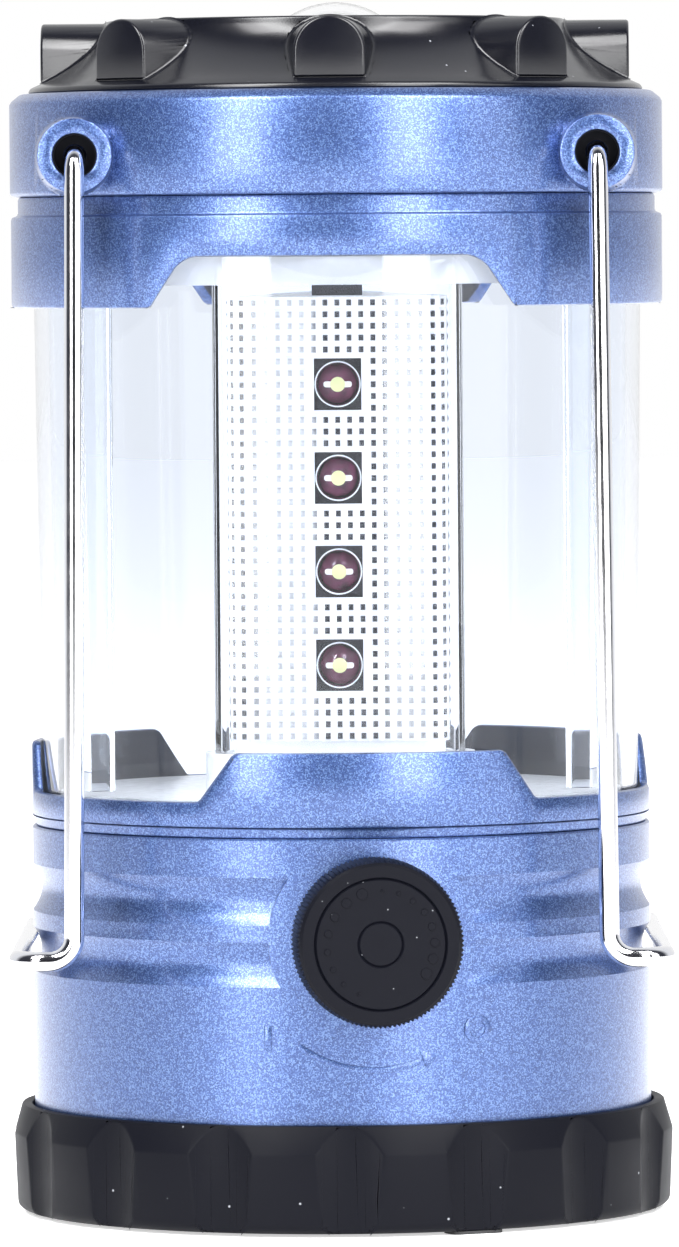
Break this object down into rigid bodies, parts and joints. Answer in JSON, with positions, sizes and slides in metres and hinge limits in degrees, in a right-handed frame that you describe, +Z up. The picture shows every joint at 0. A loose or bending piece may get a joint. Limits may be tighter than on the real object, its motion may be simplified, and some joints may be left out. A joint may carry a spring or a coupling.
{
  "type": "camping lantern",
  "caption": "Small battery lantern with a clear globe, a prism light column, wire bails, a twist-off base, a dimmer knob and a compass in its cap.",
  "frame": {"origin": "on the floor under the lantern's axis, at the rubber feet", "axes": "+Z up along the axis, -Y towards the dimmer knob side, +X to its right"},
  "size_m": [0.0844, 0.0905, 0.1543],
  "materials": {
    "blue_paint": "metallic lacquer with fine sparkle over moulded plastic",
    "black_plastic": "satin moulded",
    "foot_rubber": "matte",
    "steel": "plated",
    "contact_brass": "plain",
    "chrome_wire": "polished wire",
    "clear_plastic": "clear moulded plastic with a faint blue tint",
    "white_plastic": "white, glossy",
    "silver_reflector": "vacuum-metallised plastic with a prism grid",
    "led_epoxy": "clear epoxy over a dark cup",
    "board_green": "solder mask",
    "cell_jacket": "plain jacket",
    "lead_jacket": "wire jacket"
  },
  "bodies": {
    "root": {"battery_housing": "blue_paint", "base_seal": "foot_rubber", "battery_cage": "black_plastic", "battery_1": "cell_jacket", "battery_2": "cell_jacket", "battery_3": "cell_jacket", "top_contacts": "contact_brass", "return_strip": "contact_brass", "lower_shroud": "blue_paint", "lower_gasket": "foot_rubber", "deck_reflector": "white_plastic", "deck_screws": "steel", "globe": "clear_plastic", "upper_gasket": "foot_rubber", "upper_collar": "blue_paint", "ceiling_reflector": "white_plastic", "handle_ring": "blue_paint", "collar_screws": "steel", "top_cap": "black_plastic", "cap_screws": "steel", "compass_cup": "black_plastic", "compass_pivot": "contact_brass", "compass_lens": "clear_plastic", "column_sleeve": "clear_plastic", "reflector_core": "silver_reflector", "dimmer": "steel", "dimmer_washer": "steel", "dimmer_nut": "steel", "driver_board": "board_green", "battery_leads": "lead_jacket", "led_leads": "lead_jacket", "led_board_front": "board_green", "leds_front": "led_epoxy", "led_board_right": "board_green", "leds_right": "led_epoxy", "led_board_left": "board_green", "leds_left": "led_epoxy"},
    "contact_carrier": {"contact_carrier": "black_plastic", "base_contacts": "contact_brass", "base_springs": "steel"},
    "base_cap": {"base_cap": "black_plastic", "rubber_feet": "foot_rubber", "carrier_clip": "steel"},
    "bail_left": {"bail_left": "chrome_wire"},
    "bail_right": {"bail_right": "chrome_wire"},
    "knob": {"knob": "black_plastic", "dimmer_shaft": "contact_brass"},
    "compass_card": {"compass_card": "white_plastic"}
  },
  "joints": [
    {"name": "base_pull", "type": "slide", "parent": "root", "child": "contact_carrier", "axis": [0, 0, -1], "range_m": [0, 0.07]},
    {"name": "base_twist", "type": "hinge", "parent": "contact_carrier", "child": "base_cap", "pos_m": [0, 0, 0], "axis": [0, 0, -1], "range_deg": [0, 90]},
    {"name": "bail_right_swing", "type": "hinge", "parent": "root", "child": "bail_right", "pos_m": [0.03259, 0, 0.1347], "axis": [0, -1, 0], "range_deg": [0, 193]},
    {"name": "bail_left_swing", "type": "hinge", "parent": "root", "child": "bail_left", "pos_m": [-0.03259, 0, 0.1347], "axis": [0, 1, 0], "range_deg": [0, 193]},
    {"name": "dimmer_turn", "type": "hinge", "parent": "root", "child": "knob", "pos_m": [0, 0, 0.0369], "axis": [-0.1011, 0.9949, 0], "range_deg": [0, 300]},
    {"name": "compass_turn", "type": "hinge", "parent": "root", "child": "compass_card", "pos_m": [0, 0, 0.148], "axis": [0, 0, 1], "continuous": true}
  ]
}
